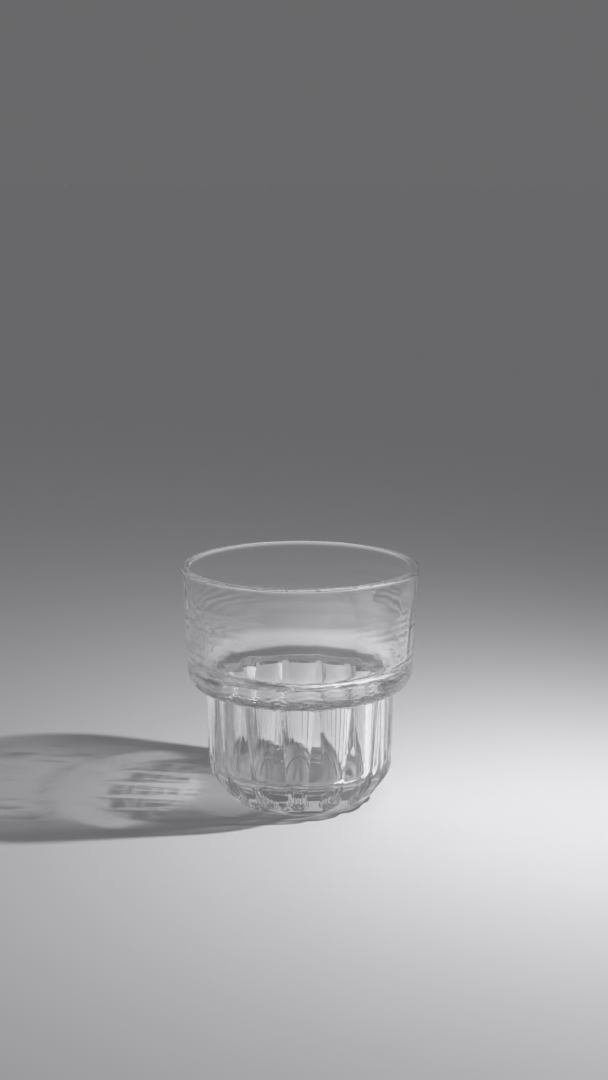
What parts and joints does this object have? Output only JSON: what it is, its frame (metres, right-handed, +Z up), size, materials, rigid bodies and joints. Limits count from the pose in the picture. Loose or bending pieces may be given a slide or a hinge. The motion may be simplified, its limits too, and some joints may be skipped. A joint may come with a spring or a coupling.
{
  "type": "rocks glass",
  "caption": "Short clear drinking glass: a wide smooth bowl steps in at a rounded shoulder to a narrower fluted lower body with a thick flat base.",
  "frame": {"origin": "centre of the base, on the surface that the glass stands on", "axes": "+Z up along the axis of the glass, +X out through the middle of one flute"},
  "size_m": [0.0868, 0.0868, 0.088],
  "materials": {
    "clear_glass": "clear, fire-polished gloss"
  },
  "bodies": {
    "root": {"tumbler": "clear_glass"}
  },
  "joints": []
}
